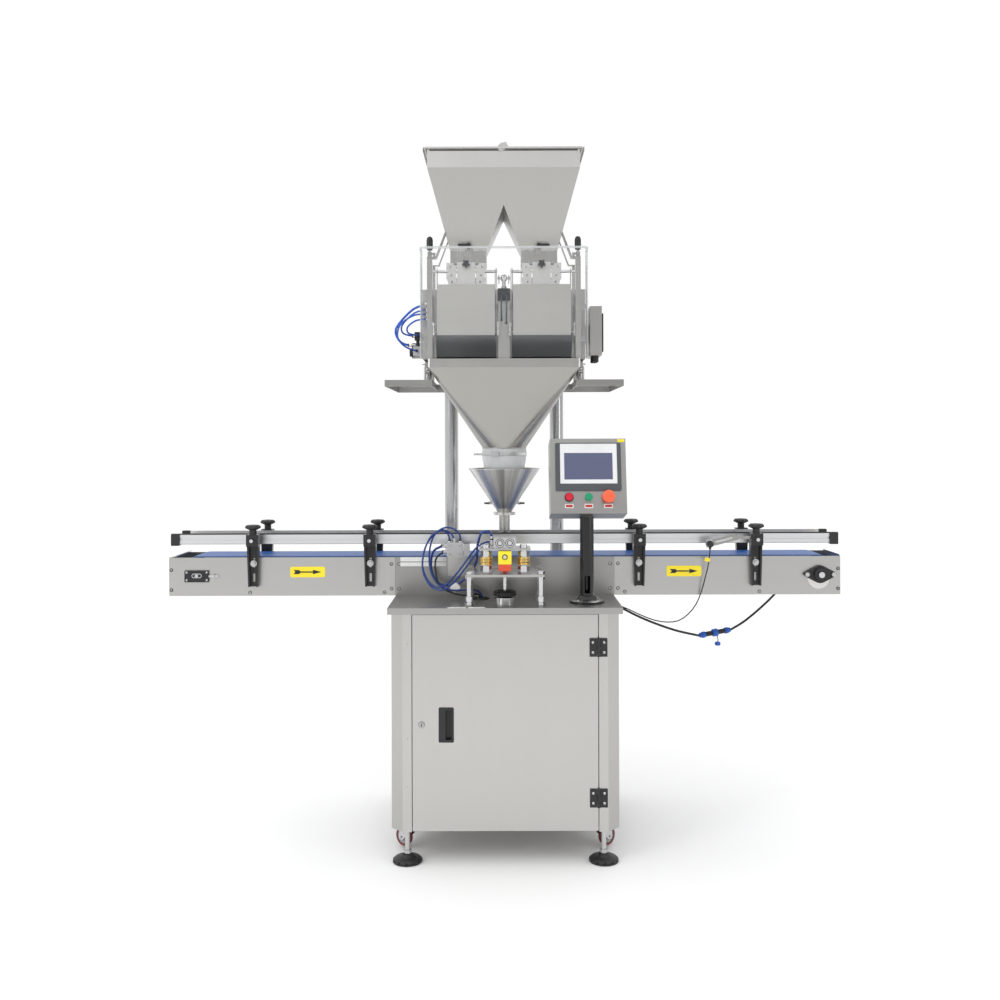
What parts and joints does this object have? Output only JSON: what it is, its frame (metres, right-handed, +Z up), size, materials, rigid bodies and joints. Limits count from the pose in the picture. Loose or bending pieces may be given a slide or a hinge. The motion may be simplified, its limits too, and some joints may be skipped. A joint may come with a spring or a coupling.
{
  "type": "linear weigher",
  "caption": "Stainless linear weigher: a split hopper feeds vibrating pans and weigh buckets over a funnel, above a bottle conveyor on a cabinet with a tilted control box.",
  "frame": {"origin": "on the floor, under the middle of the machine's outline", "axes": "+X along the belt's travel, +Y away from the operator, +Z up"},
  "size_m": [2.28, 0.7, 2.328],
  "materials": {
    "sheet_steel": "brushed stainless sheet",
    "polished_steel": "polished",
    "cast_aluminium": "satin",
    "painted_black": "gloss black",
    "dark_parts": "satin grey",
    "black_plastic": "fine matt",
    "belt_blue": "matt belt",
    "guide_aluminium": "anodised",
    "clear_acrylic": "clear sheet",
    "clear_sleeve": "soft clear sleeve",
    "caster_tread": "dark red tread",
    "red_plastic": "gloss",
    "green_plastic": "gloss",
    "orange_plastic": "gloss",
    "blue_hose": "gloss tube",
    "cable_black": "matt cable",
    "device_grey": "moulded"
  },
  "bodies": {
    "frame": {"cabinet": "sheet_steel", "cabinet_hinges": "painted_black", "table_top": "sheet_steel", "electrics": "device_grey", "conveyor_frame": "sheet_steel", "conveyor_belt": "belt_blue", "shaft_bearings": "painted_black", "gear_motor": "cast_aluminium", "rail_brackets": "painted_black", "clamp_knobs": "black_plastic", "columns": "polished_steel", "shelf": "sheet_steel", "weigher_body": "sheet_steel", "weigh_buckets": "sheet_steel", "feed_hopper": "sheet_steel", "collecting_funnel": "sheet_steel", "outlet_sleeve": "clear_sleeve", "filling_funnel": "sheet_steel", "control_post": "painted_black", "control_box": "sheet_steel", "operator_panel": "black_plastic", "station_stand": "polished_steel", "pneumatics": "cast_aluminium", "photo_sensor": "black_plastic", "display_unit": "black_plastic", "motor_cable": "cable_black", "sensor_cable": "cable_black", "air_hoses": "blue_hose"},
    "door": {"door": "sheet_steel", "door_fittings": "painted_black"},
    "lock": {"door_lock": "polished_steel"},
    "drive_roller": {"drive_roller": "dark_parts"},
    "tail_roller": {"tail_roller": "dark_parts"},
    "rail_front": {"guide_rail_front": "guide_aluminium"},
    "rail_rear": {"guide_rail_rear": "guide_aluminium"},
    "pan_left": {"feeder_pan_left": "sheet_steel"},
    "pan_right": {"feeder_pan_right": "sheet_steel"},
    "flap_left": {"bucket_flap_left": "dark_parts"},
    "flap_right": {"bucket_flap_right": "dark_parts"},
    "gate_left": {"hopper_gate_left": "sheet_steel"},
    "gate_right": {"hopper_gate_right": "sheet_steel"},
    "guard": {"splash_guard": "clear_acrylic"},
    "lever_left": {"clamp_lever_left": "polished_steel"},
    "lever_right": {"clamp_lever_right": "polished_steel"},
    "start": {"start_button": "green_plastic"},
    "stop": {"stop_button": "red_plastic"},
    "estop": {"emergency_stop": "orange_plastic"},
    "handwheel": {"handwheel": "black_plastic"},
    "caster_fl": {"caster_fork_fl": "polished_steel"},
    "wheel_fl": {"caster_wheel_fl": "caster_tread"},
    "foot_fl": {"foot_fl": "black_plastic"},
    "caster_fr": {"caster_fork_fr": "polished_steel"},
    "wheel_fr": {"caster_wheel_fr": "caster_tread"},
    "foot_fr": {"foot_fr": "black_plastic"},
    "caster_rl": {"caster_fork_rl": "polished_steel"},
    "wheel_rl": {"caster_wheel_rl": "caster_tread"},
    "foot_rl": {"foot_rl": "black_plastic"},
    "caster_rr": {"caster_fork_rr": "polished_steel"},
    "wheel_rr": {"caster_wheel_rr": "caster_tread"},
    "foot_rr": {"foot_rr": "black_plastic"}
  },
  "joints": [
    {"name": "door_hinge", "type": "hinge", "parent": "frame", "child": "door", "pos_m": [0.2935, -0.3433, 0.45], "axis": [0, 0, 1], "range_deg": [0, 110]},
    {"name": "lock_turn", "type": "hinge", "parent": "door", "child": "lock", "pos_m": [-0.264, -0.338, 0.444], "axis": [0, -1, 0], "range_deg": [0, 90]},
    {"name": "caster_swivel_fl", "type": "hinge", "parent": "frame", "child": "caster_fl", "pos_m": [-0.318, -0.196, 0.09], "axis": [0, 0, 1], "continuous": true},
    {"name": "caster_spin_fl", "type": "hinge", "parent": "caster_fl", "child": "wheel_fl", "pos_m": [-0.33285, -0.18115, 0.038], "axis": [-0.7071, -0.7071, 0], "continuous": true},
    {"name": "foot_fl_slide", "type": "slide", "parent": "frame", "child": "foot_fl", "axis": [0, 0, 1], "range_m": [-0.01, 0.025]},
    {"name": "caster_swivel_fr", "type": "hinge", "parent": "frame", "child": "caster_fr", "pos_m": [0.318, -0.196, 0.09], "axis": [0, 0, 1], "continuous": true},
    {"name": "caster_spin_fr", "type": "hinge", "parent": "caster_fr", "child": "wheel_fr", "pos_m": [0.33285, -0.18115, 0.038], "axis": [-0.7071, 0.7071, 0], "continuous": true},
    {"name": "foot_fr_slide", "type": "slide", "parent": "frame", "child": "foot_fr", "axis": [0, 0, 1], "range_m": [-0.01, 0.025]},
    {"name": "caster_swivel_rl", "type": "hinge", "parent": "frame", "child": "caster_rl", "pos_m": [-0.318, 0.196, 0.09], "axis": [0, 0, 1], "continuous": true},
    {"name": "caster_spin_rl", "type": "hinge", "parent": "caster_rl", "child": "wheel_rl", "pos_m": [-0.33285, 0.18115, 0.038], "axis": [0.7071, -0.7071, 0], "continuous": true},
    {"name": "foot_rl_slide", "type": "slide", "parent": "frame", "child": "foot_rl", "axis": [0, 0, 1], "range_m": [-0.01, 0.025]},
    {"name": "caster_swivel_rr", "type": "hinge", "parent": "frame", "child": "caster_rr", "pos_m": [0.318, 0.196, 0.09], "axis": [0, 0, 1], "continuous": true},
    {"name": "caster_spin_rr", "type": "hinge", "parent": "caster_rr", "child": "wheel_rr", "pos_m": [0.33285, 0.18115, 0.038], "axis": [0.7071, 0.7071, 0], "continuous": true},
    {"name": "foot_rr_slide", "type": "slide", "parent": "frame", "child": "foot_rr", "axis": [0, 0, 1], "range_m": [-0.01, 0.025]},
    {"name": "drive_spin", "type": "hinge", "parent": "frame", "child": "drive_roller", "pos_m": [1.069, 0.02, 0.882], "axis": [0, 1, 0], "continuous": true},
    {"name": "tail_spin", "type": "hinge", "parent": "frame", "child": "tail_roller", "pos_m": [-1.045, 0.02, 0.882], "axis": [0, 1, 0], "continuous": true},
    {"name": "rail_front_slide", "type": "slide", "parent": "frame", "child": "rail_front", "axis": [0, 1, 0], "range_m": [-0.012, 0.03]},
    {"name": "rail_rear_slide", "type": "slide", "parent": "frame", "child": "rail_rear", "axis": [0, 1, 0], "range_m": [-0.03, 0.012]},
    {"name": "feeder_pan_left_slide", "type": "slide", "parent": "frame", "child": "pan_left", "axis": [0, 1, 0], "range_m": [-0.001, 0.001], "stiffness_N_per_m": 20000},
    {"name": "bucket_flap_left_hinge", "type": "hinge", "parent": "frame", "child": "flap_left", "pos_m": [-0.1285, -0.09, 1.705], "axis": [-1, 0, 0], "range_deg": [0, 45], "stiffness_Nm_per_rad": 1.5},
    {"name": "hopper_gate_left_slide", "type": "slide", "parent": "frame", "child": "gate_left", "axis": [0, 0, 1], "range_m": [0, 0.015]},
    {"name": "clamp_lever_left_hinge", "type": "hinge", "parent": "frame", "child": "lever_left", "pos_m": [-0.253, -0.053, 1.976], "axis": [0, -1, 0], "range_deg": [0, 80]},
    {"name": "feeder_pan_right_slide", "type": "slide", "parent": "frame", "child": "pan_right", "axis": [0, 1, 0], "range_m": [-0.001, 0.001], "stiffness_N_per_m": 20000},
    {"name": "bucket_flap_right_hinge", "type": "hinge", "parent": "frame", "child": "flap_right", "pos_m": [0.1285, -0.09, 1.705], "axis": [-1, 0, 0], "range_deg": [0, 45], "stiffness_Nm_per_rad": 1.5},
    {"name": "hopper_gate_right_slide", "type": "slide", "parent": "frame", "child": "gate_right", "axis": [0, 0, 1], "range_m": [0, 0.015]},
    {"name": "clamp_lever_right_hinge", "type": "hinge", "parent": "frame", "child": "lever_right", "pos_m": [0.253, -0.053, 1.976], "axis": [0, 1, 0], "range_deg": [0, 80]},
    {"name": "guard_lift", "type": "slide", "parent": "frame", "child": "guard", "axis": [0, 0, 1], "range_m": [0, 0.12]},
    {"name": "start_press", "type": "slide", "parent": "frame", "child": "start", "axis": [0, 0.9781, -0.2079], "range_m": [0, 0.003], "stiffness_N_per_m": 900},
    {"name": "stop_press", "type": "slide", "parent": "frame", "child": "stop", "axis": [0, 0.9781, -0.2079], "range_m": [0, 0.003], "stiffness_N_per_m": 900},
    {"name": "estop_press", "type": "slide", "parent": "frame", "child": "estop", "axis": [0, 0.9781, -0.2079], "range_m": [0, 0.006], "stiffness_N_per_m": 1200},
    {"name": "handwheel_turn", "type": "hinge", "parent": "frame", "child": "handwheel", "pos_m": [0, -0.222, 0.84], "axis": [0, 0, 1], "continuous": true}
  ],
  "couplings": [
    {"joint": "tail_spin", "follows": "drive_spin", "ratio": 1}
  ]
}
